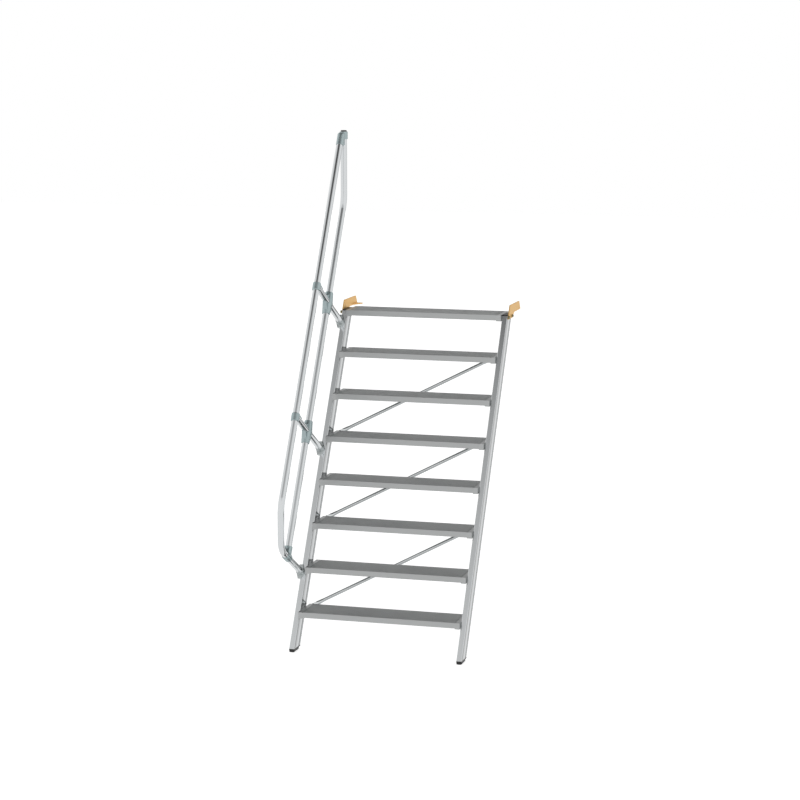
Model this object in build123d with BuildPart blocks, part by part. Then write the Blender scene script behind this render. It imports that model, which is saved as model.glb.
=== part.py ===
from build123d import *
import math
import os

# Straight aluminium stair at sixty degrees, hooked on a landing by two steel brackets.
# Frame: z = 0 is the landing surface, +Y runs up the stair, +X is to the right of someone who climbs it.
# The origin lies under the seat tab of the left bracket. Lengths are in millimetres.

os.makedirs("parts", exist_ok=True)

# Flight
tread_count = 8
stair_angle = 60.0
rise = 244.0
first_rise = 230.0
tread_span = 1000.0
nosing = 43.0

# Treads
tread_depth = 225.0
tread_height = 33.0
tread_top_wall = 4.0
tread_wall = 3.0
tread_lip = 15.0
tread_nose_radius = 3.0
tread_rib_pitch = 8.0
tread_groove_width = 4.0
tread_groove_depth = 1.3
tread_groove_margin = 12.0
tread_web_height = 16.0
tread_web_spacing = 72.0

# End castings of the treads
end_length = 30.0
end_height = 38.0
end_wall = 4.0
end_joint_width = 3.0
end_joint_depth = 3.0

# Stringers
stringer_width = 33.0
stringer_depth = 103.0
stringer_wall = 3.0
stringer_radius = 3.5
stringer_groove_width = 4.0
stringer_groove_depth = 1.6
stringer_groove_from_rear = 28.0
stringer_top_drop = 8.0

# Feet and top caps
foot_plate_thickness = 8.0
foot_block_height = 13.0
foot_block_length = 96.0
foot_corner_radius = 8.0
foot_edge_radius = 6.0
top_cap_thickness = 8.0
cap_corner_radius = 3.0

# Wall brackets
bracket_thickness = 6.0
bracket_front_inset = 14.0
bracket_leg_drop = 30.0
bracket_leg_base = 106.0
bracket_heel_overhang = 38.0
bracket_arm_height = 54.0
bracket_arm_reach = 324.0
bracket_arm_slant = 34.0
bracket_corner_radius = 4.0
bracket_notch_radius = 10.0
tab_width = 37.0
tab_root_length = 95.0
tab_tip_length = 20.0
seat_inset = 16.0
seat_to_rear = 33.0
bracket_bolt_spacing = 92.0
bracket_bolt_drop = 17.0
bracket_bolt_radius = 5.5

# Rails
tube_diameter = 40.0
tube_wall = 2.5
bore_clearance = 0.2
rail_outset = 3.0
handrail_height = 550.0
knee_rail_height = 295.0
top_post_along = -84.0
middle_post_along = -934.0
bottom_post_along = -1729.0
lower_corner_height = 421.0
lower_bend_radius = 100.0
upper_bend_radius = 200.0
handrail_top_along = 940.0
upright_behind_end = 54.0
upright_above_end = 20.0
post_foot_gap = 2.0
tube_end_gap = 1.0

# Rail fittings
sleeve_diameter = 50.0
fitting_web = 24.0
fitting_edge_radius = 3.0
tee_sleeve_down = 31.0
tee_sleeve_up = 18.0
tee_web_reach = 92.0
lower_tee_sleeve = 63.0
lower_tee_branch = 62.0
lower_tee_branch_diameter = 48.0
cross_sleeve_down = 76.0
cross_sleeve_up = 65.0
cross_middle_diameter = 63.0
cross_web_reach = 66.0
end_sleeve_length = 46.0
end_sleeve_top_gap = 1.0
end_sleeve_radius = 2.0
end_socket_diameter = 45.0
end_socket_length = 82.0
end_socket_wall = 12.0
end_socket_radius = 12.0
end_web_drop = 37.0
plug_height = 8.0
plug_inset = 1.5
plug_spigot = 18.0
plug_radius = 4.0

# Post feet
foot_flange_length = 92.0
foot_flange_tip = 24.0
foot_flange_height = 9.0
foot_collar_diameter = 49.0
foot_collar_height = 24.0
foot_cheek_drop = 48.0
foot_cheek_taper = 22.0
foot_pad_diameter = 24.0
foot_pad_outset = 13.0
foot_pad_spacing = 60.0
foot_pad_drop = 16.0

# Braces
brace_diameter = 22.0
brace_low_inset = 12.0
brace_high_inset = 28.0
brace_drop = 16.0
brace_standoff = 29.0
brace_tab_width = 28.0
brace_tab_thickness = 5.0
brace_low_tab = 20.0
brace_high_tab = 60.0
brace_neck_length = 56.0
brace_first_treads = (1, 3, 5)
brace_tread_step = 2

slope = math.radians(stair_angle)
slope_run = 1.0 / math.tan(slope)
up_slope = Vector(0, math.cos(slope), math.sin(slope))
off_slope = Vector(0, -math.sin(slope), math.cos(slope))

mid_x = tread_span / 2 + stringer_width + bracket_thickness - seat_inset
front_y = seat_to_rear - bracket_arm_reach
ground_z = -(tread_count - 1) * rise - first_rise
stringer_top_z = -stringer_top_drop
stringer_bottom_z = ground_z + foot_block_height + foot_plate_thickness
stringer_level_depth = stringer_depth / math.sin(slope)
left_inner_x = mid_x - tread_span / 2
left_outer_x = left_inner_x - stringer_width
rail_x = left_outer_x - rail_outset
tube_radius = tube_diameter / 2
bore_diameter = tube_diameter + bore_clearance
mirror_plane = Plane.YZ.offset(mid_x)


def front_at(z):
    """Level position of the stringers' front face at height z."""
    return front_y + z * slope_run


def on_slope(x, along, square):
    """Point at a distance up the slope from landing level, and square to the stringers' front face."""
    return Vector(x, front_y, 0) + up_slope * along + off_slope * square


def side_plane(x, along, square):
    """Upright plane whose own x runs up the slope and whose own y runs square off the stringers."""
    return Plane(origin=on_slope(x, along, square), x_dir=up_slope, z_dir=(1, 0, 0))


def save(piece, name):
    """Label a finished piece and write it out."""
    piece.part.label = name
    export_step(piece.part, "parts/" + name + ".step")


def mirrored(piece, name):
    """Write the right-hand twin of a left-hand piece."""
    with BuildPart() as twin:
        add(mirror(piece.part, about=mirror_plane, mode=Mode.PRIVATE))
    save(twin, name)


# Stringer: hollow profile with a shallow groove near its rear edge on both faces, cut level at both ends
stringer_start = ground_z / math.sin(slope) - stringer_depth

with BuildPart() as stringer:
    section_origin = on_slope(left_inner_x - stringer_width / 2, stringer_start, -stringer_depth / 2)
    with BuildSketch(Plane(origin=section_origin, x_dir=(1, 0, 0), z_dir=up_slope)):
        RectangleRounded(stringer_width, stringer_depth, stringer_radius)
        RectangleRounded(
            stringer_width - 2 * stringer_wall,
            stringer_depth - 2 * stringer_wall,
            stringer_radius / 2,
            mode=Mode.SUBTRACT,
        )
        groove_y = stringer_depth / 2 - stringer_groove_from_rear
        with Locations((-stringer_width / 2, groove_y), (stringer_width / 2, groove_y)):
            Rectangle(2 * stringer_groove_depth, stringer_groove_width, mode=Mode.SUBTRACT)
    extrude(amount=-ground_z / math.sin(slope) + 2 * stringer_depth)
    split(bisect_by=Plane.XY.offset(stringer_top_z), keep=Keep.BOTTOM)
    split(bisect_by=Plane.XY.offset(stringer_bottom_z), keep=Keep.TOP)
save(stringer, "left_stringer")
mirrored(stringer, "right_stringer")


def level_outline(z):
    """Plane at height z, centred on the level cut through the left stringer."""
    return Plane(origin=(left_inner_x - stringer_width / 2, front_at(z) + stringer_level_depth / 2, z))


# Top cap: flat black plate on the stringer's level cut
with BuildPart() as top_cap:
    with BuildSketch(level_outline(stringer_top_z)):
        RectangleRounded(stringer_width, stringer_level_depth, cap_corner_radius)
    extrude(amount=top_cap_thickness)
save(top_cap, "left_top_cap")
mirrored(top_cap, "right_top_cap")

# Foot: plate under the level cut, with a thicker rounded block under its front half
with BuildPart() as foot:
    with BuildSketch(level_outline(stringer_bottom_z)):
        RectangleRounded(stringer_width, stringer_level_depth, cap_corner_radius)
    extrude(amount=-foot_plate_thickness)
    block_offset = (foot_block_length - stringer_level_depth) / 2
    with BuildSketch(level_outline(stringer_bottom_z).offset(-foot_plate_thickness)):
        with Locations((0, block_offset)):
            RectangleRounded(stringer_width, foot_block_length, foot_corner_radius)
    extrude(amount=-foot_block_height)
    fillet(foot.faces().sort_by(Axis.Z)[0].edges(), foot_edge_radius)
save(foot, "left_foot")
mirrored(foot, "right_foot")


def tread_plane(number, x):
    """Upright plane at x with its origin on the top front edge of a tread, counted from the ground."""
    top_z = -(tread_count - number) * rise
    return Plane(origin=(x, front_at(top_z) - nosing, top_z), x_dir=(0, 1, 0), z_dir=(1, 0, 0))


lowest = (Align.MIN, Align.MAX)
groove_count = int((tread_depth - 2 * tread_groove_margin) / tread_rib_pitch) + 1

for number in range(1, tread_count + 1):
    # Tread: ribbed plate with folded front and rear walls, open underneath, with two stiffening webs
    with BuildPart() as tread:
        with BuildSketch(tread_plane(number, left_inner_x + end_length)) as profile:
            Rectangle(tread_depth, tread_height, align=lowest)
            fillet(profile.vertices().group_by(Axis.Z)[-1].sort_by(Axis.Y)[0], tread_nose_radius)
            with Locations((tread_wall, -tread_top_wall)):
                Rectangle(
                    tread_depth - 2 * tread_wall,
                    tread_height - tread_top_wall - tread_wall,
                    align=lowest,
                    mode=Mode.SUBTRACT,
                )
            with Locations((tread_lip, -tread_top_wall)):
                Rectangle(tread_depth - 2 * tread_lip, tread_height, align=lowest, mode=Mode.SUBTRACT)
            with Locations((tread_depth / 2, -tread_top_wall)):
                with GridLocations(tread_web_spacing, 0, 2, 1):
                    Rectangle(tread_wall, tread_web_height, align=(Align.CENTER, Align.MAX))
            with Locations((tread_depth / 2, 0)):
                with GridLocations(tread_rib_pitch, 0, groove_count, 1):
                    Rectangle(tread_groove_width, 2 * tread_groove_depth, mode=Mode.SUBTRACT)
        extrude(amount=tread_span - 2 * end_length)
    save(tread, "tread_" + str(number))

    # End castings: channels that carry the tread on the stringers, stepped down beside the ribbed plate
    with BuildPart() as ends:
        with BuildSketch(tread_plane(number, left_inner_x)) as outline:
            Rectangle(tread_depth, end_height, align=lowest)
            fillet(outline.vertices().group_by(Axis.Z)[-1].sort_by(Axis.Y)[0], tread_nose_radius)
        extrude(amount=end_length)
        with BuildSketch(tread_plane(number, left_inner_x + end_wall)):
            with Locations((end_wall, -end_wall)):
                Rectangle(tread_depth - 2 * end_wall, end_height, align=lowest)
        extrude(amount=end_length - end_wall, mode=Mode.SUBTRACT)
        with BuildSketch(tread_plane(number, left_inner_x + end_length - end_joint_width)):
            Rectangle(tread_depth, end_joint_depth, align=lowest)
        extrude(amount=end_joint_width, mode=Mode.SUBTRACT)
        mirror(about=mirror_plane)
    save(ends, "tread_" + str(number) + "_ends")


# Wall bracket: steel plate on the stringer's outer face, whose arm runs level over the landing to a bent tab
with BuildPart() as bracket:
    leg_front = front_at(-bracket_leg_drop) + bracket_front_inset
    with BuildSketch(Plane.YZ.offset(left_outer_x - bracket_thickness)):
        with BuildLine():
            FilletPolyline(
                (leg_front, -bracket_leg_drop),
                (front_at(bracket_arm_height) + bracket_front_inset, bracket_arm_height),
                (seat_to_rear - bracket_arm_slant, bracket_arm_height),
                (seat_to_rear, 0),
                (front_y + stringer_level_depth + bracket_heel_overhang, 0),
                (leg_front + bracket_leg_base, -bracket_leg_drop),
                radius=[
                    bracket_corner_radius,
                    bracket_corner_radius,
                    bracket_corner_radius,
                    bracket_corner_radius,
                    bracket_notch_radius,
                    bracket_corner_radius,
                ],
                close=True,
            )
        make_face()
    extrude(amount=bracket_thickness)
    with BuildSketch(Plane.XY):
        with BuildLine():
            Polyline(
                (left_outer_x - bracket_thickness / 2, seat_to_rear - bracket_corner_radius),
                (left_outer_x - bracket_thickness / 2, seat_to_rear - tab_root_length),
                (left_outer_x, seat_to_rear - tab_root_length),
                (left_outer_x + tab_width, seat_to_rear - bracket_corner_radius - tab_tip_length),
                (left_outer_x + tab_width, seat_to_rear - bracket_corner_radius),
                close=True,
            )
        make_face()
    extrude(amount=bracket_thickness)
    bolt_z = -bracket_bolt_drop
    with Locations(Plane.YZ.offset(left_outer_x)):
        with Locations((front_at(bolt_z) + stringer_level_depth / 2, bolt_z)):
            with GridLocations(bracket_bolt_spacing, 0, 2, 1):
                Hole(bracket_bolt_radius, bracket_thickness)
save(bracket, "left_wall_bracket")
mirrored(bracket, "right_wall_bracket")


def bent_tube(points, radii):
    """Hollow round tube along straight runs joined by arcs."""
    with BuildPart() as tube:
        with BuildLine() as route:
            FilletPolyline(points, radius=radii)
        with BuildSketch(Plane(origin=route.line @ 0, z_dir=route.line % 0)):
            Circle(tube_radius)
            Circle(tube_radius - tube_wall, mode=Mode.SUBTRACT)
        sweep(path=route.line)
    return tube


# Handrail: up from the lowest post foot, upright for a stretch, then parallel to the stringers
handrail_end = on_slope(rail_x, handrail_top_along, handrail_height)
lower_corner = on_slope(rail_x, bottom_post_along, lower_corner_height)
upper_corner_along = (lower_corner.Y - front_y + handrail_height * math.sin(slope)) / math.cos(slope)
handrail = bent_tube(
    [
        handrail_end,
        on_slope(rail_x, upper_corner_along, handrail_height),
        lower_corner,
        on_slope(rail_x, bottom_post_along, post_foot_gap),
    ],
    [upper_bend_radius, lower_bend_radius],
)
save(handrail, "handrail")

# Knee rail: parallel to the stringers, then bent upright to stand behind the handrail's top end and carry it
upright_y = handrail_end.Y + upright_behind_end
upright_top_z = handrail_end.Z + upright_above_end
knee_corner_along = (upright_y - front_y + knee_rail_height * math.sin(slope)) / math.cos(slope)
knee_rail = bent_tube(
    [
        on_slope(rail_x, bottom_post_along + tube_radius + tube_end_gap, knee_rail_height),
        on_slope(rail_x, knee_corner_along, knee_rail_height),
        Vector(rail_x, upright_y, upright_top_z),
    ],
    [upper_bend_radius],
)
save(knee_rail, "knee_rail")


def straight_tube(along, start, end):
    """Hollow tube square to the stringer, between two distances from its front face."""
    with BuildSketch(Plane(origin=on_slope(rail_x, along, start), x_dir=(1, 0, 0), z_dir=off_slope)) as ring:
        Circle(tube_radius)
        Circle(tube_radius - tube_wall, mode=Mode.SUBTRACT)
    extrude(ring.sketch, amount=end - start)


def make_post(along, name):
    """Post in two lengths, below and above the knee rail."""
    gap = tube_radius + tube_end_gap
    with BuildPart() as post:
        straight_tube(along, post_foot_gap, knee_rail_height - gap)
        straight_tube(along, knee_rail_height + gap, handrail_height - gap)
    save(post, name)


def round_bar(origin, direction, diameter, length, mode=Mode.ADD):
    """Round bar or bore from a point along a direction, in the current part."""
    with BuildSketch(Plane(origin=origin, x_dir=(1, 0, 0), z_dir=direction)) as disc:
        Circle(diameter / 2)
    extrude(disc.sketch, amount=length, mode=mode)


def sleeve_body(start, direction, radii, length):
    """Turned body of a casting around a tube, whose radii are spaced evenly along its length."""
    step = length / (len(radii) - 1)
    rim = [(radius, place * step) for place, radius in enumerate(radii)]
    with BuildSketch(Plane(origin=start, x_dir=(1, 0, 0), z_dir=direction.cross(Vector(1, 0, 0)) * -1)) as half:
        with BuildLine():
            Polyline((0, 0), *rim, (0, length), close=True)
        make_face()
    revolve(half.sketch, axis=Axis(start, direction))


def web_plate(along, square, outline):
    """Flat web of a casting in the rail's own plane, with its outline given up the slope and square to it."""
    with BuildSketch(side_plane(rail_x - fitting_web / 2, along, square)) as web:
        with BuildLine():
            Polyline(*outline, close=True)
        make_face()
    extrude(web.sketch, amount=fitting_web)


def make_tee(along, name):
    """Casting that slides on the handrail, with a gusset down the upper side of a post."""
    length = tee_sleeve_down + tee_sleeve_up
    start = on_slope(rail_x, along - tee_sleeve_down, handrail_height)
    post_end = on_slope(rail_x, along, handrail_height - tee_web_reach)
    with BuildPart() as tee:
        round_bar(start, up_slope, sleeve_diameter, length)
        fillet(tee.edges().filter_by(GeomType.CIRCLE), fitting_edge_radius)
        web_plate(
            along,
            handrail_height,
            [
                (-tube_radius, 0),
                (tee_sleeve_up, 0),
                (tee_sleeve_up + tube_radius / 2, -tube_radius),
                (tube_radius + fitting_edge_radius, -tee_web_reach),
                (0, -tee_web_reach),
                (-tube_radius, -tube_radius - fitting_edge_radius),
            ],
        )
        round_bar(start, up_slope, bore_diameter, length + tube_radius, Mode.SUBTRACT)
        round_bar(post_end, off_slope, bore_diameter, tee_web_reach, Mode.SUBTRACT)
    save(tee, name)


def make_cross(along, name):
    """Casting where the knee rail passes between the two lengths of a post."""
    length = cross_sleeve_down + cross_sleeve_up
    start = on_slope(rail_x, along - cross_sleeve_down, knee_rail_height)
    end_radius = sleeve_diameter / 2
    middle_radius = cross_middle_diameter / 2
    with BuildPart() as cross:
        sleeve_body(start, up_slope, [end_radius, middle_radius, end_radius], length)
        web_plate(
            along,
            knee_rail_height,
            [
                (-cross_sleeve_down, 0),
                (-tube_radius, cross_web_reach),
                (tube_radius, cross_web_reach),
                (cross_sleeve_up, 0),
                (tube_radius, -cross_web_reach),
                (-tube_radius, -cross_web_reach),
            ],
        )
        round_bar(start, up_slope, bore_diameter, length, Mode.SUBTRACT)
        round_bar(
            on_slope(rail_x, along, knee_rail_height - cross_web_reach),
            off_slope,
            bore_diameter,
            2 * cross_web_reach,
            Mode.SUBTRACT,
        )
    save(cross, name)


def flange_outline(along, square):
    """Lozenge around a post's foot, level with the stringer's front face."""
    tip = foot_flange_tip / 2
    half = foot_flange_length / 2
    side = foot_collar_diameter / 2
    with BuildSketch(Plane(origin=on_slope(rail_x, along, square), x_dir=(1, 0, 0), z_dir=off_slope)) as flange:
        with BuildLine():
            Polyline(
                (-tip, -half), (tip, -half), (side, -tip), (side, tip), (tip, half), (-tip, half),
                (-side, tip), (-side, -tip), close=True,
            )
        make_face()
        fillet(flange.vertices(), fitting_edge_radius)
    return flange.sketch


def make_post_foot(along, name):
    """Casting that holds the end of a post in a collar and is bolted to the stringer's outer face by its cheek."""
    outer_face = Plane.YZ.offset(left_outer_x)
    with BuildPart() as casting:
        extrude(flange_outline(along, 0), amount=-foot_cheek_drop, taper=foot_cheek_taper)
        for side in (-1, 1):
            pad = on_slope(left_outer_x - foot_pad_outset, along + side * foot_pad_spacing / 2, -foot_pad_drop)
            with BuildSketch(Plane(origin=pad, x_dir=up_slope, z_dir=(1, 0, 0))):
                Circle(foot_pad_diameter / 2)
            extrude(amount=foot_pad_outset)
        split(bisect_by=outer_face, keep=Keep.BOTTOM)
        extrude(flange_outline(along, 0), amount=foot_flange_height, taper=foot_cheek_taper)
        round_bar(on_slope(rail_x, along, 0), off_slope, foot_collar_diameter, foot_collar_height)
        round_bar(on_slope(rail_x, along, post_foot_gap), off_slope, bore_diameter, foot_collar_height, Mode.SUBTRACT)
    save(casting, name)


make_post(top_post_along, "top_post")
make_post(middle_post_along, "middle_post")
make_tee(top_post_along, "top_tee")
make_tee(middle_post_along, "middle_tee")
make_cross(top_post_along, "top_cross")
make_cross(middle_post_along, "middle_cross")
make_post_foot(top_post_along, "top_post_foot")
make_post_foot(middle_post_along, "middle_post_foot")
make_post_foot(bottom_post_along, "bottom_post_foot")

# Lower tee: slides on the lowest post and takes the knee rail's lower end
with BuildPart() as lower_tee:
    half = lower_tee_sleeve / 2
    sleeve_start = on_slope(rail_x, bottom_post_along, knee_rail_height - half)
    branch_start = on_slope(rail_x, bottom_post_along, knee_rail_height)
    round_bar(sleeve_start, off_slope, sleeve_diameter, lower_tee_sleeve)
    fillet(lower_tee.edges().filter_by(GeomType.CIRCLE), fitting_edge_radius)
    round_bar(branch_start, up_slope, lower_tee_branch_diameter, lower_tee_branch)
    web_plate(
        bottom_post_along,
        knee_rail_height,
        [(0, -half), (0, half), (lower_tee_branch, tube_radius), (lower_tee_branch, -tube_radius)],
    )
    round_bar(sleeve_start, off_slope, bore_diameter, lower_tee_sleeve, Mode.SUBTRACT)
    round_bar(branch_start, up_slope, bore_diameter, lower_tee_branch, Mode.SUBTRACT)
save(lower_tee, "lower_tee")

# End fitting: upright sleeve below the plug, slanting socket over the handrail's end, and a web between them
with BuildPart() as end_fitting:
    sleeve_top = upright_top_z - end_sleeve_top_gap
    sleeve_foot = Vector(rail_x, upright_y, sleeve_top - end_sleeve_length)
    socket_start = handrail_end + up_slope * (end_socket_wall - end_socket_length)
    socket_end = handrail_end + up_slope * (end_socket_wall - end_socket_radius)
    web_foot_z = sleeve_foot.Z - end_web_drop
    round_bar(socket_start, up_slope, end_socket_diameter, end_socket_length)
    fillet(end_fitting.edges().filter_by(GeomType.CIRCLE).sort_by(Axis.Z)[-1], end_socket_radius)
    round_bar(sleeve_foot, Vector(0, 0, 1), sleeve_diameter, end_sleeve_length)
    with BuildSketch(Plane.YZ.offset(rail_x - fitting_web / 2)):
        with BuildLine():
            Polyline(
                (socket_start.Y, socket_start.Z),
                (socket_end.Y, socket_end.Z),
                (upright_y, sleeve_top - end_sleeve_radius),
                (upright_y, web_foot_z),
                close=True,
            )
        make_face()
    extrude(amount=fitting_web)
    round_bar(
        Vector(rail_x, upright_y, web_foot_z),
        Vector(0, 0, 1),
        bore_diameter,
        sleeve_top - web_foot_z,
        Mode.SUBTRACT,
    )
    round_bar(socket_start, up_slope, bore_diameter, end_socket_length - end_socket_wall, Mode.SUBTRACT)
save(end_fitting, "end_fitting")

# Plug in the open top of the upright
with BuildPart() as upright_plug:
    top_plane = Plane(origin=(rail_x, upright_y, upright_top_z))
    with BuildSketch(top_plane):
        Circle(tube_radius - plug_inset)
    extrude(amount=plug_height)
    fillet(upright_plug.faces().sort_by(Axis.Z)[-1].edges(), plug_radius)
    with BuildSketch(top_plane):
        Circle(tube_radius - tube_wall)
    extrude(amount=-plug_spigot)
save(upright_plug, "upright_plug")


def brace_end(number, side, inset):
    """Fixing point of a brace on the rear wall of a tread, on the left (-1) or right (+1)."""
    top = tread_plane(number, mid_x + side * (tread_span / 2 - inset)).origin
    return top + Vector(0, tread_depth, -brace_drop)


back = Vector(0, 1, 0)

for index, first_tread in enumerate(brace_first_treads):
    # Brace: round tube whose flattened ends lie flat on the rear walls of two treads
    low = brace_end(first_tread, -1, brace_low_inset)
    high = brace_end(first_tread + brace_tread_step, 1, brace_high_inset)
    axis_low = low + back * brace_standoff
    axis_high = high + back * brace_standoff
    tube_run = (axis_high - axis_low).normalized()
    tab_run = Vector(tube_run.X, 0, tube_run.Z).normalized()
    tube_start = brace_low_tab + brace_neck_length
    tube_end = brace_high_tab + brace_neck_length
    with BuildPart() as brace:
        with BuildSketch(Plane(origin=axis_low + tube_run * tube_start, x_dir=back, z_dir=tube_run)):
            Circle(brace_diameter / 2)
        extrude(amount=(axis_high - axis_low).length - tube_start - tube_end)
        for corner, axis_corner, sign, tab_length, reach in (
            (low, axis_low, 1, brace_low_tab, tube_start),
            (high, axis_high, -1, brace_high_tab, tube_end),
        ):
            inward = tab_run * sign
            with BuildSketch(Plane(origin=corner, x_dir=inward, z_dir=back)):
                Circle(brace_tab_width / 2)
                Rectangle(tab_length, brace_tab_width, align=(Align.MIN, Align.CENTER))
            extrude(amount=brace_tab_thickness)
            tab_end = corner + inward * tab_length + back * (brace_tab_thickness / 2)
            with BuildSketch(Plane(origin=tab_end, x_dir=back, z_dir=inward)):
                Rectangle(brace_tab_thickness, brace_tab_width)
            tube_face = Plane(origin=axis_corner + tube_run * (sign * reach), x_dir=back, z_dir=tube_run * sign)
            with BuildSketch(tube_face):
                Circle(brace_diameter / 2)
            loft()
    save(brace, "brace_" + str(index + 1))
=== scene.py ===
"""Looks of an aluminium stair with eight treads and one handrail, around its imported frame.

Lengths are metres in the frame of the solids: z = 0 is the landing surface, +Y runs up the stair and +X is to
the right of someone who climbs it.
"""

import logging
import math
from dataclasses import dataclass, field
from enum import Enum

import bpy
import numpy as np
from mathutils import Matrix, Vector


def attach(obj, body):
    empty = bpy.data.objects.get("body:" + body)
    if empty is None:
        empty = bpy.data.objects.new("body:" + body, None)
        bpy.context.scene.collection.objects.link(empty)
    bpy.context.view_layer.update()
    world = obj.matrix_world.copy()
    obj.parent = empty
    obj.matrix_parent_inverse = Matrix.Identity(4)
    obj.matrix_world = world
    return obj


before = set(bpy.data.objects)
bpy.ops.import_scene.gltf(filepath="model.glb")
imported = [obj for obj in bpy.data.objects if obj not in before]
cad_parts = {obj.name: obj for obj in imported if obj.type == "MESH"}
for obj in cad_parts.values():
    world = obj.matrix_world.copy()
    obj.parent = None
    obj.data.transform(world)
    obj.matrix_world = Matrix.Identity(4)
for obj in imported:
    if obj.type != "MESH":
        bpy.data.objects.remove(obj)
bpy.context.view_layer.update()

log = logging.getLogger("stair")

Triple = tuple[float, float, float]
Stops = tuple[tuple[float, float], ...]
Grid = tuple[np.ndarray, np.ndarray]
Shell = tuple[np.ndarray, np.ndarray, np.ndarray]


class Side(Enum):
    """Left and right as someone who climbs the stair sees them."""

    LEFT = -1.0
    RIGHT = 1.0


@dataclass(frozen=True)
class Flight:
    """Driving sizes of the stair, as the solids have them."""

    tread_count: int = 8
    slope: float = math.radians(60.0)
    rise: float = 0.244
    tread_span: float = 1.0
    nosing: float = 0.043
    tread_depth: float = 0.225
    tread_height: float = 0.033
    stringer_width: float = 0.033
    stringer_depth: float = 0.103
    mid_x: float = 0.523
    front_y: float = -0.291
    ground_z: float = -1.938
    rail_x: float = -0.013

    @property
    def up(self) -> np.ndarray:
        """Unit vector up the slope."""
        return np.array([0.0, math.cos(self.slope), math.sin(self.slope)])

    @property
    def off(self) -> np.ndarray:
        """Unit vector square to the stringers' front face, pointing away from it."""
        return np.array([0.0, -math.sin(self.slope), math.cos(self.slope)])

    @property
    def level_depth(self) -> float:
        """Depth of a level cut through a stringer."""
        return self.stringer_depth / math.sin(self.slope)

    def front_at(self, z: float) -> float:
        """Y of the stringers' front face at a height."""
        return self.front_y + z / math.tan(self.slope)

    def on_slope(self, x: float, along: float, square: float) -> np.ndarray:
        """Point up the slope from landing level, and square to the stringers' front face.

        Args:
            x: place across the stair.
            along: distance up the slope.
            square: distance off the front face.

        Returns:
            The point as an array of three numbers.
        """
        return np.array([x, self.front_y, 0.0]) + self.up * along + self.off * square


FLIGHT = Flight()
SLOPE_TURN = (-FLIGHT.slope, 0.0, 0.0)


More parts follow.
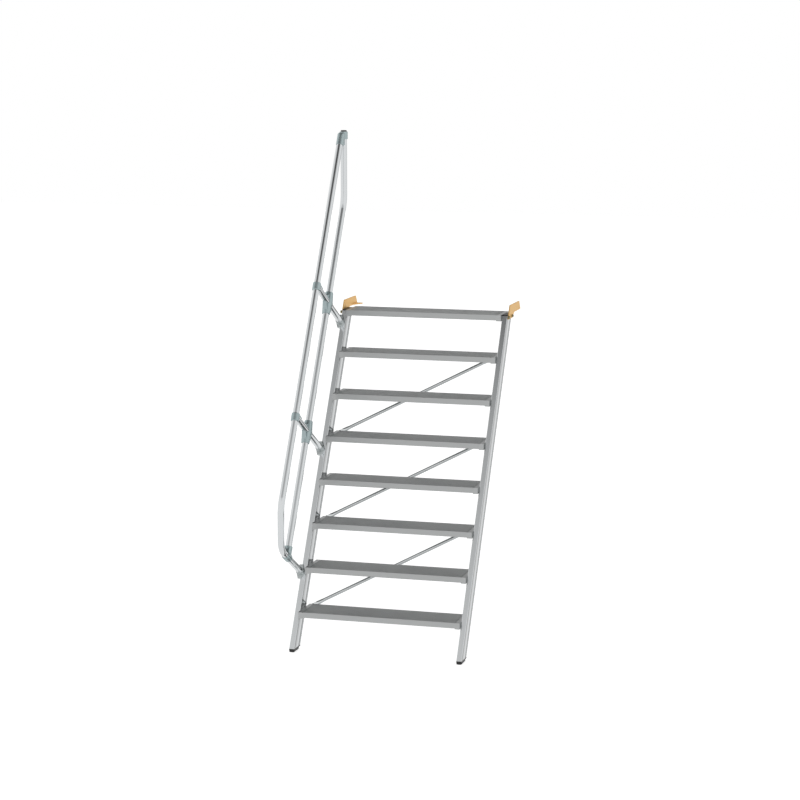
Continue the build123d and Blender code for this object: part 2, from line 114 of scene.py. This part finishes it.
class NodeBoard:
    """Short calls to add and link nodes in one tree."""

    def __init__(self, tree: bpy.types.NodeTree) -> None:
        """Takes a tree and empties it.

        Args:
            tree: the tree of a material or a world.
        """
        self.tree = tree
        self.tree.nodes.clear()

    def node(self, kind: str, **settings: object) -> bpy.types.Node:
        """Adds a node and sets its options by name.

        Args:
            kind: Blender's name of the node type.
            settings: option names with their values.

        Returns:
            The new node.
        """
        made = self.tree.nodes.new(kind)
        for key, value in settings.items():
            setattr(made, key, value)
        return made

    def link(self, source: bpy.types.NodeSocket, target: bpy.types.NodeSocket) -> None:
        """Links one socket to another."""
        self.tree.links.new(source, target)

    def place(self, turn: Triple, scale: Triple) -> bpy.types.NodeSocket:
        """Object coordinates, turned and scaled.

        Args:
            turn: turn about each axis, in radians.
            scale: scale along each turned axis.

        Returns:
            The socket that carries the coordinates.
        """
        source = self.node("ShaderNodeTexCoord")
        spin = self.node("ShaderNodeMapping", vector_type="POINT")
        spin.inputs["Rotation"].default_value = turn
        stretch = self.node("ShaderNodeMapping", vector_type="POINT")
        stretch.inputs["Scale"].default_value = scale
        self.link(source.outputs["Object"], spin.inputs["Vector"])
        self.link(spin.outputs["Vector"], stretch.inputs["Vector"])
        return stretch.outputs["Vector"]

    def noise(self, coordinates: bpy.types.NodeSocket, scale: float, detail: float) -> bpy.types.NodeSocket:
        """Noise from 0 to 1 at those coordinates.

        Args:
            coordinates: socket that carries them.
            scale: scale of the noise.
            detail: number of octaves.

        Returns:
            The socket that carries the noise.
        """
        made = self.node("ShaderNodeTexNoise")
        made.inputs["Scale"].default_value = scale
        made.inputs["Detail"].default_value = detail
        self.link(coordinates, made.inputs["Vector"])
        return made.outputs["Fac"]

    def ranged(
        self, source: bpy.types.NodeSocket, start: tuple[float, float], result: tuple[float, float]
    ) -> bpy.types.NodeSocket:
        """Number carried over from one range to another, and held at its ends.

        Args:
            source: socket with the number.
            start: the range it comes from.
            result: the range it goes to.

        Returns:
            The socket that carries the new number.
        """
        made = self.node("ShaderNodeMapRange")
        made.inputs["From Min"].default_value, made.inputs["From Max"].default_value = start
        made.inputs["To Min"].default_value, made.inputs["To Max"].default_value = result
        self.link(source, made.inputs["Value"])
        return made.outputs["Result"]

    def mixed(
        self, share: bpy.types.NodeSocket, first: Triple | bpy.types.NodeSocket, second: Triple
    ) -> bpy.types.NodeSocket:
        """Colour between two colours.

        Args:
            share: socket with the share of the second colour.
            first: first colour, or the socket that carries it.
            second: second colour.

        Returns:
            The socket that carries the colour.
        """
        made = self.node("ShaderNodeMix", data_type="RGBA")
        if isinstance(first, bpy.types.NodeSocket):
            self.link(first, made.inputs[6])
        else:
            made.inputs[6].default_value = (*first, 1.0)
        made.inputs[7].default_value = (*second, 1.0)
        self.link(share, made.inputs[0])
        return made.outputs[2]

    def steps(self, source: bpy.types.NodeSocket, stops: Stops) -> bpy.types.NodeSocket:
        """Grey tone that follows a number from 0 to 1 through straight lines between stops.

        Args:
            source: socket with the number.
            stops: place and tone of each stop, in order of place.

        Returns:
            The socket that carries the tone.
        """
        made = self.node("ShaderNodeValToRGB")
        elements = made.color_ramp.elements
        while len(elements) < len(stops):
            elements.new(0.5)
        for element, (place_at, tone) in zip(elements, stops):
            element.position = place_at
            element.color = (tone, tone, tone, 1.0)
        self.link(source, made.inputs[0])
        return made.outputs[0]

    def choice(
        self, share: bpy.types.NodeSocket, first: bpy.types.NodeSocket, second: bpy.types.NodeSocket
    ) -> bpy.types.NodeSocket:
        """Shader between two shaders.

        Args:
            share: socket with the share of the second shader.
            first: socket of the first shader.
            second: socket of the second shader.

        Returns:
            The socket that carries the shader.
        """
        made = self.node("ShaderNodeMixShader")
        self.link(share, made.inputs[0])
        self.link(first, made.inputs[1])
        self.link(second, made.inputs[2])
        return made.outputs[0]


class MaterialBoard(NodeBoard):
    """Nodes of a new material with one shader."""

    noise_range: tuple[float, float] = (0.3, 0.7)
    edge_dots: tuple[float, float] = (0.99, 0.88)
    edge_samples: int = 4

    def __init__(self, name: str) -> None:
        """Starts the material.

        Args:
            name: name of the material.
        """
        self.material = bpy.data.materials.new(name)
        self.material.use_nodes = True
        super().__init__(self.material.node_tree)
        self.output = self.node("ShaderNodeOutputMaterial")
        self.shader = self.node("ShaderNodeBsdfPrincipled")
        self.link(self.shader.outputs[0], self.output.inputs[0])

    def spread(self, noise: bpy.types.NodeSocket, low: float, high: float) -> bpy.types.NodeSocket:
        """The range that most of a noise lies in, carried over to a range of numbers.

        Args:
            noise: socket with the noise.
            low: number at the lower end.
            high: number at the upper end.

        Returns:
            The socket that carries the number.
        """
        return self.ranged(noise, self.noise_range, (low, high))

    def edges(self, radius: float) -> tuple[bpy.types.NodeSocket, bpy.types.NodeSocket]:
        """Normal that rounds the edges, and how much it leaves the true one.

        The share rises from 0 to 1 as the dot product of the two normals falls from the first of edge_dots to
        the second.

        Args:
            radius: radius of the rounding in metres.

        Returns:
            The sockets of the rounded normal and of the share.
        """
        round_off = self.node("ShaderNodeBevel", samples=self.edge_samples)
        round_off.inputs["Radius"].default_value = radius
        true = self.node("ShaderNodeNewGeometry")
        dot = self.node("ShaderNodeVectorMath", operation="DOT_PRODUCT")
        self.link(round_off.outputs["Normal"], dot.inputs[0])
        self.link(true.outputs["Normal"], dot.inputs[1])
        return round_off.outputs["Normal"], self.ranged(dot.outputs["Value"], self.edge_dots, (0.0, 1.0))

    def relief(self, height: bpy.types.NodeSocket, depth: float, base: bpy.types.NodeSocket) -> None:
        """Bump on the shader from a height.

        Args:
            height: socket that carries the height from 0 to 1.
            depth: depth in metres.
            base: socket with the normal that the bump is laid on.
        """
        made = self.node("ShaderNodeBump")
        made.inputs["Distance"].default_value = depth
        made.inputs["Strength"].default_value = 1.0
        self.link(height, made.inputs["Height"])
        self.link(base, made.inputs["Normal"])
        self.link(made.outputs["Normal"], self.shader.inputs["Normal"])


@dataclass(frozen=True)
class Finish:
    """Metal or plastic with a grain that runs along one direction.

    The colour and the roughness vary with a noise stretched along the grain, a finer noise gives the bump,
    and the edges are rounded and rubbed lighter. Given stripes paint reflection and shade over a stringer's
    depth.
    """

    name: str
    colour: Triple
    dark_colour: Triple
    roughness: tuple[float, float]
    metallic: float = 1.0
    grain_turn: Triple = (0.0, 0.0, 0.0)
    grain_scale: Triple = (1.0, 1.0, 1.0)
    grain_noise: float = 60.0
    grain_octaves: float = 6.0
    grit_finer: float = 4.0
    grit_octaves: float = 4.0
    bump_depth: float = 0.00002
    specular: float = 0.5
    edge_radius: float = 0.0006
    edge_colour: Triple = (0.62, 0.64, 0.64)
    edge_share: float = 0.5
    # Painted reflection and shade over a stringer's depth: place and tone of each stop, multiplied into the
    # colour.
    painted_reflection_bands: Stops = ()

    def material(self) -> bpy.types.Material:
        """The material of this finish, made once."""
        ready = bpy.data.materials.get(self.name)
        if ready is not None:
            return ready
        board = MaterialBoard(self.name)
        along = board.place(self.grain_turn, self.grain_scale)
        streaks = board.noise(along, self.grain_noise, self.grain_octaves)
        grit = board.noise(along, self.grain_noise * self.grit_finer, self.grit_octaves)
        tone = board.mixed(streaks, self.dark_colour, self.colour)
        # Painted reflection and shade: light and dark stripes across the stringer's depth multiply the
        # colour.
        if self.painted_reflection_bands:
            tone = self.paint_reflection_bands(board, tone)
        rounded, edge = board.edges(self.edge_radius)
        rubbed = board.node("ShaderNodeMath", operation="MULTIPLY")
        rubbed.inputs[1].default_value = self.edge_share
        board.link(edge, rubbed.inputs[0])
        tone = board.mixed(rubbed.outputs[0], tone, self.edge_colour)
        board.link(tone, board.shader.inputs["Base Color"])
        board.link(board.spread(streaks, *self.roughness), board.shader.inputs["Roughness"])
        board.relief(grit, self.bump_depth, rounded)
        board.shader.inputs["Metallic"].default_value = self.metallic
        board.shader.inputs["Specular IOR Level"].default_value = self.specular
        return board.material

    def paint_reflection_bands(self, board: NodeBoard, tone: bpy.types.NodeSocket) -> bpy.types.NodeSocket:
        """Colour with painted reflection and shade over a stringer's depth: light and dark stripes that stand
        in for the light the profile's shallow steps would catch and lose.

        The place over the depth is the turned object coordinate square to the front face, from 0 at the rear
        to 1 at the front.

        Args:
            board: the material's nodes.
            tone: socket with the colour before.

        Returns:
            The socket that carries the colour.
        """
        split = board.node("ShaderNodeSeparateXYZ")
        board.link(board.place(SLOPE_TURN, (1.0, 1.0, 1.0)), split.inputs[0])
        front = FLIGHT.front_y * FLIGHT.off[1]
        depth = board.ranged(split.outputs["Z"], (front - FLIGHT.stringer_depth, front), (0.0, 1.0))
        made = board.node("ShaderNodeMix", data_type="RGBA", blend_type="MULTIPLY")
        made.inputs[0].default_value = 1.0
        board.link(tone, made.inputs[6])
        board.link(board.steps(depth, self.painted_reflection_bands), made.inputs[7])
        return made.outputs[2]

    def dress(self, piece: bpy.types.Object) -> None:
        """Gives the piece this finish in place of what it had."""
        piece.data.materials.clear()
        piece.data.materials.append(self.material())


# Painted reflection and shade over a stringer's depth, from rear (0) to front (1): the dark stops are painted
# shade, the bright ones painted reflection.
STRINGER_PAINTED_REFLECTION_BANDS = (
    (0.0, 0.50),
    (0.25, 0.52),
    (0.27, 0.28),
    (0.33, 0.30),
    (0.36, 0.82),
    (0.58, 0.84),
    (0.66, 0.64),
    (0.83, 0.60),
    (0.86, 0.30),
    (0.965, 0.28),
    (0.985, 1.0),
)
STRINGER = Finish(
    "stringer_aluminium",
    (0.76, 0.78, 0.79),
    (0.68, 0.70, 0.71),
    (0.07, 0.13),
    grain_turn=SLOPE_TURN,
    grain_scale=(14.0, 0.6, 14.0),
    bump_depth=0.000003,
    painted_reflection_bands=STRINGER_PAINTED_REFLECTION_BANDS,
)
TREAD = Finish(
    "tread_aluminium", (0.50, 0.51, 0.51), (0.41, 0.42, 0.42), (0.36, 0.50), grain_scale=(0.8, 18.0, 18.0)
)
TREAD_END = Finish(
    "tread_end_casting", (0.50, 0.51, 0.51), (0.42, 0.43, 0.43), (0.34, 0.46), bump_depth=0.00012
)
TUBE = Finish(
    "drawn_tube",
    (0.72, 0.74, 0.75),
    (0.65, 0.67, 0.68),
    (0.06, 0.10),
    grain_turn=SLOPE_TURN,
    grain_scale=(9.0, 0.5, 9.0),
    bump_depth=0.000002,
)
CASTING = Finish(
    "fitting_casting",
    (0.46, 0.54, 0.55),
    (0.37, 0.45, 0.46),
    (0.30, 0.42),
    grain_noise=90.0,
    bump_depth=0.00006,
    edge_colour=(0.60, 0.68, 0.68),
    edge_share=0.4,
)
FOOT_CASTING = Finish(
    "foot_casting",
    (0.60, 0.63, 0.63),
    (0.50, 0.53, 0.53),
    (0.24, 0.36),
    grain_noise=90.0,
    bump_depth=0.00006,
)
BRACE = Finish("brace_zinc", (0.68, 0.71, 0.71), (0.60, 0.62, 0.63), (0.05, 0.09), bump_depth=0.000002)
YELLOW_ZINC = Finish(
    "yellow_plating",
    (0.96, 0.61, 0.21),
    (0.88, 0.50, 0.13),
    (0.30, 0.45),
    metallic=0.7,
    edge_colour=(0.92, 0.75, 0.48),
)
ZINC_BOLT = Finish("bolt_zinc", (0.34, 0.32, 0.18), (0.24, 0.23, 0.13), (0.25, 0.40))
ALUMINIUM_BOLT = Finish("bolt_bright", (0.55, 0.57, 0.57), (0.46, 0.48, 0.48), (0.20, 0.32))
PLASTIC = Finish(
    "moulded_plastic",
    (0.012, 0.012, 0.012),
    (0.008, 0.008, 0.008),
    (0.35, 0.50),
    metallic=0.0,
    edge_colour=(0.05, 0.05, 0.05),
)


@dataclass(frozen=True)
class Spot:
    """Place of a fastener: a point on the face that it is pressed on, and the way that it points."""

    point: Triple
    axis: Triple

    def frame(self) -> np.ndarray:
        """Three unit rows: two square to the axis, and the axis."""
        axis = np.array(self.axis, dtype=float)
        aside = np.cross(axis, (0.0, 0.6, 0.8) if abs(axis[0]) > 0.5 else (1.0, 0.0, 0.0))
        aside = aside / np.linalg.norm(aside)
        return np.stack([aside, np.cross(axis, aside), axis])


@dataclass(frozen=True)
class Turned:
    """Closed surface around an axis, from radius(row, angle) and height(row, angle) on a grid."""

    turns: int = 36
    head_levels: tuple[float, ...] = (0.0, 0.08, 0.16, 0.3, 0.7, 0.84, 0.92, 1.0)
    head_flat: float = 0.46
    head_cone: float = 1.73
    thread_rows: int = 8
    thread_depth: float = 0.6
    thread_taper: float = 0.4
    screw_rim: float = 0.92
    screw_shoulder: float = 0.6

    @property
    def angles(self) -> np.ndarray:
        """Angles of one ring."""
        return np.linspace(0.0, 2.0 * math.pi, self.turns, endpoint=False)

    def hexagon(self, across: float) -> np.ndarray:
        """Distance of a hexagon's sides from its middle at each angle.

        It is half the width over the cosine of the angle from the middle of the nearest side.

        Args:
            across: width over two sides.

        Returns:
            The distance at each angle.
        """
        away = np.mod(self.angles, math.pi / 3.0) - math.pi / 6.0
        return across / 2.0 / np.cos(away)

    def ring_grid(self, rows: list[tuple[float, float]]) -> Grid:
        """Grid of round rows.

        Args:
            rows: radius and height of each row.

        Returns:
            Radius and height at each row and angle.
        """
        table = np.array(rows, dtype=float)
        spread = np.ones(self.turns)
        return table[:, :1] * spread, table[:, 1:] * spread

    def washer(self, radius: float, thickness: float) -> Grid:
        """Flat round disc whose rims are bevelled by a fifth of its thickness."""
        bevel = thickness / 5.0
        inner = radius - bevel
        rows = [(inner, 0.0), (radius, bevel), (radius, thickness - bevel), (inner, thickness)]
        return self.ring_grid(rows)

    def hex_head(self, across: float, start: float, height: float, both: bool = False) -> Grid:
        """Hexagon cut by a cone of 30 degrees at its outer end, or at both ends as on a nut.

        Args:
            across: width over two sides.
            start: height of its underside.
            height: its thickness.
            both: whether the underside is cut as well.

        Returns:
            Radius and height at each row and angle.
        """
        level = np.array(self.head_levels)[:, None] * height
        reach = self.head_flat * across + self.head_cone * (height - level)
        if both:
            reach = np.minimum(reach, self.head_flat * across + self.head_cone * level)
        radius = np.minimum(self.hexagon(across)[None, :], reach)
        return radius, start + level * np.ones(self.turns)

    def thread(self, radius: float, start: float, length: float, pitch: float) -> Grid:
        """Threaded end, whose radius falls and rises once in each pitch of a helix.

        It falls by thread_depth of the pitch, and the last pitch narrows by thread_taper of the pitch.

        Args:
            radius: radius over the thread's crests.
            start: height where it begins.
            length: its length.
            pitch: distance between crests.

        Returns:
            Radius and height at each row and angle.
        """
        level = np.linspace(0.0, length, int(length / pitch * self.thread_rows) + 1)[:, None]
        phase = np.mod(level / pitch - self.angles[None, :] / (2.0 * math.pi), 1.0)
        groove = self.thread_depth * pitch * np.abs(2.0 * phase - 1.0)
        taper = np.clip((level - length + pitch) / pitch, 0.0, 1.0) * self.thread_taper * pitch
        return radius - groove - taper, start + level * np.ones(self.turns)

    def set_screw(self, radius: float, proud: float, socket: float) -> Grid:
        """Round screw end with a hexagon socket sunk in it.

        Args:
            radius: radius of the screw.
            proud: how far it stands out.
            socket: width of the socket over two sides.

        Returns:
            Radius and height at each row and angle.
        """
        rim = np.full(self.turns, radius)
        inner = self.hexagon(socket)
        rows = np.stack([rim, rim, rim * self.screw_rim, inner, inner])
        level = np.array([-2.0 * radius, proud * self.screw_shoulder, proud, proud, -radius])[:, None]
        return rows, level * np.ones(self.turns)

    def shell(self, grid: Grid, spot: Spot) -> Shell:
        """Points, quads and end triangles of the surface at a spot.

        The point at (row, angle) is the spot plus radius times the direction at that angle, plus height times
        the axis. A pole on the axis closes each end.

        Args:
            grid: radius and height at each row and angle.
            spot: where the surface stands.

        Returns:
            Points, quads and triangles as index arrays.
        """
        radius, height = grid
        rows = radius.shape[0]
        local = np.stack([radius * np.cos(self.angles), radius * np.sin(self.angles), height], axis=-1)
        poles = np.array([[0.0, 0.0, height[0, 0]], [0.0, 0.0, height[-1, 0]]])
        points = np.concatenate([local.reshape(-1, 3), poles]) @ spot.frame() + np.array(spot.point)
        ring = np.arange(self.turns)
        ahead = np.roll(ring, -1)
        base = np.arange(rows - 1)[:, None] * self.turns
        above = base + self.turns
        quads = np.stack([base + ring, base + ahead, above + ahead, above + ring], axis=-1)
        last = (rows - 1) * self.turns
        foot = np.stack([np.full(self.turns, rows * self.turns), ahead, ring], axis=-1)
        head = np.stack([np.full(self.turns, rows * self.turns + 1), last + ring, last + ahead], axis=-1)
        return points, quads.reshape(-1, 4), np.concatenate([foot, head])


SMOOTH_UNDER = math.radians(28.0)


def make_piece(name: str, shells: list[Shell], finish: Finish) -> None:
    """Makes one object of closed shells, dresses it and lets it ride on the stair.

    Args:
        name: name of the object.
        shells: points, quads and triangles of each shell.
        finish: its finish.
    """
    offsets = np.cumsum([0] + [len(points) for points, _, _ in shells[:-1]])
    points = np.concatenate([points for points, _, _ in shells])
    quads = np.concatenate([quads + offset for (_, quads, _), offset in zip(shells, offsets)])
    triangles = np.concatenate([ends + offset for (_, _, ends), offset in zip(shells, offsets)])
    mesh = bpy.data.meshes.new(name)
    mesh.from_pydata(points.tolist(), [], quads.tolist() + triangles.tolist())
    mesh.polygons.foreach_set("use_smooth", np.ones(len(mesh.polygons), dtype=bool))
    mesh.set_sharp_from_angle(angle=SMOOTH_UNDER)
    mesh.update()
    piece = bpy.data.objects.new(name, mesh)
    bpy.context.scene.collection.objects.link(piece)
    finish.dress(piece)
    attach(piece, "root")
    log.info("%s: %d points", name, len(points))


@dataclass
class FastenerSet:
    """Like fasteners at several spots, made as one piece."""

    name: str
    spots: list[Spot]
    finish: Finish = ZINC_BOLT

    def grids(self, turned: Turned) -> list[Grid]:
        """Surfaces of one fastener."""
        raise NotImplementedError

    def build(self) -> None:
        """Makes the piece."""
        turned = Turned()
        grids = self.grids(turned)
        shells = [turned.shell(grid, spot) for spot in self.spots for grid in grids]
        make_piece(self.name, shells, self.finish)


@dataclass
class HexBolts(FastenerSet):
    """Washers with hexagon bolt heads, pressed on a face at each spot."""

    across: float = 0.013
    head: float = 0.0053
    washer_radius: float = 0.0085
    washer_thickness: float = 0.0016

    def grids(self, turned: Turned) -> list[Grid]:
        """Surfaces of the washer and the head."""
        return [
            turned.washer(self.washer_radius, self.washer_thickness),
            turned.hex_head(self.across, self.washer_thickness, self.head),
        ]


@dataclass
class NutEnds(FastenerSet):
    """Washers with nuts and the threaded ends of bolts, at each spot."""

    across: float = 0.015
    nut: float = 0.007
    washer_radius: float = 0.0095
    washer_thickness: float = 0.0016
    thread_radius: float = 0.004
    thread_pitch: float = 0.00125
    thread_reach: float = 0.010

    def grids(self, turned: Turned) -> list[Grid]:
        """Surfaces of the washer, the nut and the thread."""
        return [
            turned.washer(self.washer_radius, self.washer_thickness),
            turned.hex_head(self.across, self.washer_thickness, self.nut, both=True),
            turned.thread(self.thread_radius, self.nut, self.thread_reach - self.nut, self.thread_pitch),
        ]


@dataclass
class SetScrews(FastenerSet):
    """Screws with hexagon sockets that clamp the castings on the tubes."""

    radius: float = 0.004
    proud: float = 0.0006
    socket: float = 0.004

    def grids(self, turned: Turned) -> list[Grid]:
        """Surface of the screw's end."""
        return [turned.set_screw(self.radius, self.proud, self.socket)]


@dataclass
class Fasteners:
    """All bolts, nuts and screws, placed by the stair's own sizes."""

    bracket_thickness: float = 0.006
    bracket_bolt_spacing: float = 0.092
    bracket_bolt_drop: float = 0.017
    end_wall: float = 0.004
    end_bolt_spacing: float = 0.060
    end_bolt_drop: float = 0.020
    pad_outset: float = 0.013
    pad_spacing: float = 0.060
    pad_drop: float = 0.016
    post_places: Triple = (-0.084, -0.934, -1.729)
    brace_low_inset: float = 0.012
    brace_high_inset: float = 0.028
    brace_drop: float = 0.016
    brace_tab: float = 0.005
    brace_treads: tuple[int, int, int] = (1, 3, 5)
    brace_step: int = 2
    handrail_height: float = 0.550
    knee_rail_height: float = 0.295
    tee_radius: float = 0.025
    tee_screw_drop: float = 0.006
    cross_radius: float = 0.0271
    cross_screw_drop: float = 0.052
    cross_screw_rise: float = 0.041
    lower_tee_radius: float = 0.024
    lower_tee_screw_rise: float = 0.045

    def face(self, side: Side, out: float) -> float:
        """X of a face at a distance outside a stringer's inner face.

        Args:
            side: which stringer.
            out: distance away from the middle of the stair.

        Returns:
            The place across the stair.
        """
        return FLIGHT.mid_x + side.value * (FLIGHT.tread_span / 2 + out)

    def pair(self, z: float, spacing: float, x: float, axis: Triple) -> list[Spot]:
        """Two spots side by side at one height, centred on the stringer's depth.

        Args:
            z: their height.
            spacing: distance between them.
            x: place across the stair.
            axis: the way that both point.

        Returns:
            The two spots.
        """
        middle = FLIGHT.front_at(z) + FLIGHT.level_depth / 2
        return [Spot((x, middle + sign * spacing / 2, z), axis) for sign in (-1.0, 1.0)]

    def bracket_nuts(self, side: Side) -> list[Spot]:
        """Spots on the outer face of a wall bracket."""
        x = self.face(side, FLIGHT.stringer_width + self.bracket_thickness)
        return self.pair(-self.bracket_bolt_drop, self.bracket_bolt_spacing, x, (side.value, 0.0, 0.0))

    def end_heads(self, number: int, side: Side) -> list[Spot]:
        """Spots inside the channel of a tread's end casting."""
        x = self.face(side, -self.end_wall)
        axis = (-side.value, 0.0, 0.0)
        top = (number - FLIGHT.tread_count) * FLIGHT.rise
        if number == FLIGHT.tread_count:
            return self.pair(-self.bracket_bolt_drop, self.bracket_bolt_spacing, x, axis)
        return self.pair(top - self.end_bolt_drop, self.end_bolt_spacing, x, axis)

    def post_heads(self, along: float) -> list[Spot]:
        """Spots on the two pads of a post's foot."""
        x = self.face(Side.LEFT, FLIGHT.stringer_width + self.pad_outset)
        alongs = [along + sign * self.pad_spacing / 2 for sign in (-1.0, 1.0)]
        return [Spot(tuple(FLIGHT.on_slope(x, place, -self.pad_drop)), (-1.0, 0.0, 0.0)) for place in alongs]

    def brace_heads(self, first: int) -> list[Spot]:
        """Spots on the two flattened ends of a brace."""
        spots = []
        for number, side, inset in (
            (first, Side.LEFT, self.brace_low_inset),
            (first + self.brace_step, Side.RIGHT, self.brace_high_inset),
        ):
            top = (number - FLIGHT.tread_count) * FLIGHT.rise
            y = FLIGHT.front_at(top) - FLIGHT.nosing + FLIGHT.tread_depth + self.brace_tab
            spots.append(Spot((self.face(side, -inset), y, top - self.brace_drop), (0.0, 1.0, 0.0)))
        return spots

    def sleeve_spot(self, along: float, square: float, radius: float) -> Spot:
        """Spot on the left of a casting's sleeve."""
        return Spot(tuple(FLIGHT.on_slope(FLIGHT.rail_x - radius, along, square)), (-1.0, 0.0, 0.0))

    def screw_spots(self) -> list[Spot]:
        """Spots on the tees, the crosses and the lower tee."""
        knee = self.knee_rail_height
        *posts, low = self.post_places
        spots = []
        for along in posts:
            spots.append(self.sleeve_spot(along - self.tee_screw_drop, self.handrail_height, self.tee_radius))
            spots.append(self.sleeve_spot(along - self.cross_screw_drop, knee, self.cross_radius))
            spots.append(self.sleeve_spot(along + self.cross_screw_rise, knee, self.cross_radius))
        spots.append(self.sleeve_spot(low, knee, self.tee_radius))
        spots.append(self.sleeve_spot(low + self.lower_tee_screw_rise, knee, self.lower_tee_radius))
        return spots

    def build(self) -> None:
        """Makes every fastener."""
        numbers = range(1, FLIGHT.tread_count + 1)
        for side in Side:
            word = side.name.lower()
            NutEnds(word + "_bracket_nuts", self.bracket_nuts(side)).build()
            heads = [spot for number in numbers for spot in self.end_heads(number, side)]
            HexBolts(word + "_tread_bolts", heads).build()
        for name, along in zip(("top", "middle", "bottom"), self.post_places):
            HexBolts(
                name + "_foot_bolts",
                self.post_heads(along),
                ALUMINIUM_BOLT,
                across=0.010,
                head=0.0035,
                washer_radius=0.007,
                washer_thickness=0.001,
            ).build()
        for index, first in enumerate(self.brace_treads, start=1):
            HexBolts(f"brace_{index}_bolts", self.brace_heads(first), ALUMINIUM_BOLT).build()
        SetScrews("fitting_screws", self.screw_spots()).build()


@dataclass
class DressedNodes:
    """CAD nodes that stay as they are and get a finish."""

    finishes: dict[str, Finish] = field(
        default_factory=lambda: {
            "stringer": STRINGER,
            "tread": TREAD,
            "ends": TREAD_END,
            "post_foot": FOOT_CASTING,
            "tee": CASTING,
            "cross": CASTING,
            "fitting": CASTING,
            "rail": TUBE,
            "post": TUBE,
            "brace": BRACE,
            "bracket": YELLOW_ZINC,
            "cap": PLASTIC,
            "foot": PLASTIC,
            "plug": PLASTIC,
        }
    )

    def finish_of(self, name: str) -> Finish:
        """The finish of the longest key that the node's name holds, where the castings' key comes first.

        Args:
            name: name of the CAD node.

        Returns:
            Its finish.
        """
        if name.endswith("_ends"):
            return self.finishes["ends"]
        return self.finishes[max((key for key in self.finishes if key in name), key=len)]

    def build(self) -> None:
        """Dresses each CAD node."""
        for name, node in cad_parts.items():
            finish = self.finish_of(name)
            finish.dress(node)
            log.info("%s: %s", name, finish.name)


@dataclass
class Studio:
    """Camera, soft light from all around and pale floor."""

    camera_place: Triple = (4.5259, -14.8961, 1.8534)
    azimuth: float = math.radians(15.9)
    elevation: float = math.radians(9.04)
    focal_pixels: float = 2447.66
    frame_pixels: float = 800.0
    sensor: float = 36.0
    clip: tuple[float, float] = (0.1, 200.0)
    wall_tones: Stops = (
        (0.0, 0.96),
        (0.56, 0.96),
        (0.62, 0.84),
        (0.69, 0.66),
        (0.755, 0.42),
        (0.785, 0.10),
        (1.0, 0.07),
    )
    back_range: tuple[float, float] = (0.6, 0.95)
    back_strength: tuple[float, float] = (1.0, 0.6)
    floor_size: float = 60.0
    floor_tone: float = 0.8
    mirrored_glow: float = 0.95
    seen_glow: float = 0.75

    def camera(self) -> None:
        """Camera at the photograph's viewing angle."""
        data = bpy.data.cameras.new("photo_camera")
        data.sensor_width = self.sensor
        data.lens = self.focal_pixels / self.frame_pixels * self.sensor
        data.clip_start, data.clip_end = self.clip
        piece = bpy.data.objects.new("photo_camera", data)
        bpy.context.scene.collection.objects.link(piece)
        level = math.cos(self.elevation)
        aside, ahead = math.sin(self.azimuth) * level, math.cos(self.azimuth) * level
        back = Vector((aside, -ahead, math.sin(self.elevation)))
        piece.location = self.camera_place
        piece.rotation_mode = "QUATERNION"
        piece.rotation_quaternion = (-back).to_track_quat("-Z", "Y")
        bpy.context.scene.camera = piece

    def world(self) -> None:
        """Light from white walls under a dark ceiling, with dimmer walls straight behind the stair.

        The walls' tone follows the sine of the angle above level, and their strength falls over back_range of
        the share that points along +Y. The camera sees plain white.
        """
        world = bpy.data.worlds.new("studio")
        bpy.context.scene.world = world
        world.use_nodes = True
        board = NodeBoard(world.node_tree)
        split = board.node("ShaderNodeSeparateXYZ")
        board.link(board.node("ShaderNodeTexCoord").outputs["Generated"], split.inputs[0])
        light = board.node("ShaderNodeBackground")
        board.link(board.steps(split.outputs["Z"], self.wall_tones), light.inputs["Color"])
        strength = board.ranged(split.outputs["Y"], self.back_range, self.back_strength)
        board.link(strength, light.inputs["Strength"])
        seen = board.node("ShaderNodeBackground")
        seen.inputs["Color"].default_value = (1.0, 1.0, 1.0, 1.0)
        camera_ray = board.node("ShaderNodeLightPath").outputs["Is Camera Ray"]
        shown = board.choice(camera_ray, light.outputs[0], seen.outputs[0])
        board.link(shown, board.node("ShaderNodeOutputWorld").inputs[0])

    def floor(self) -> None:
        """Floor under the feet that the metal mirrors as an even glow.

        To the camera it is white apart from the stair's soft shadow.
        """
        half = self.floor_size / 2
        corners = [(-half, -half), (half, -half), (half, half), (-half, half)]
        mesh = bpy.data.meshes.new("floor")
        mesh.from_pydata([(x, y, FLIGHT.ground_z) for x, y in corners], [], [(0, 1, 2, 3)])
        piece = bpy.data.objects.new("floor", mesh)
        bpy.context.scene.collection.objects.link(piece)
        board = MaterialBoard("floor_white")
        board.shader.inputs["Base Color"].default_value = (*[self.floor_tone] * 3, 1.0)
        board.shader.inputs["Roughness"].default_value = 1.0
        board.shader.inputs["Specular IOR Level"].default_value = 0.0
        plain = board.shader.outputs[0]
        mirrored, seen = board.node("ShaderNodeEmission"), board.node("ShaderNodeEmission")
        mirrored.inputs["Strength"].default_value = self.mirrored_glow
        seen.inputs["Strength"].default_value = self.seen_glow
        lit = board.node("ShaderNodeAddShader")
        board.link(plain, lit.inputs[0])
        board.link(seen.outputs[0], lit.inputs[1])
        path = board.node("ShaderNodeLightPath")
        surface = board.choice(path.outputs["Is Glossy Ray"], plain, mirrored.outputs[0])
        surface = board.choice(path.outputs["Is Camera Ray"], surface, lit.outputs[0])
        board.link(surface, board.output.inputs[0])
        mesh.materials.append(board.material)

    def build(self) -> None:
        """Sets up the camera, the light and the floor."""
        bpy.context.scene.view_settings.view_transform = "Standard"
        self.camera()
        self.world()
        self.floor()


def main() -> None:
    """Builds the scene in order."""
    logging.basicConfig(level=logging.INFO, format="%(message)s")
    Studio().build()
    DressedNodes().build()
    Fasteners().build()


if __name__ == "__main__":
    main()
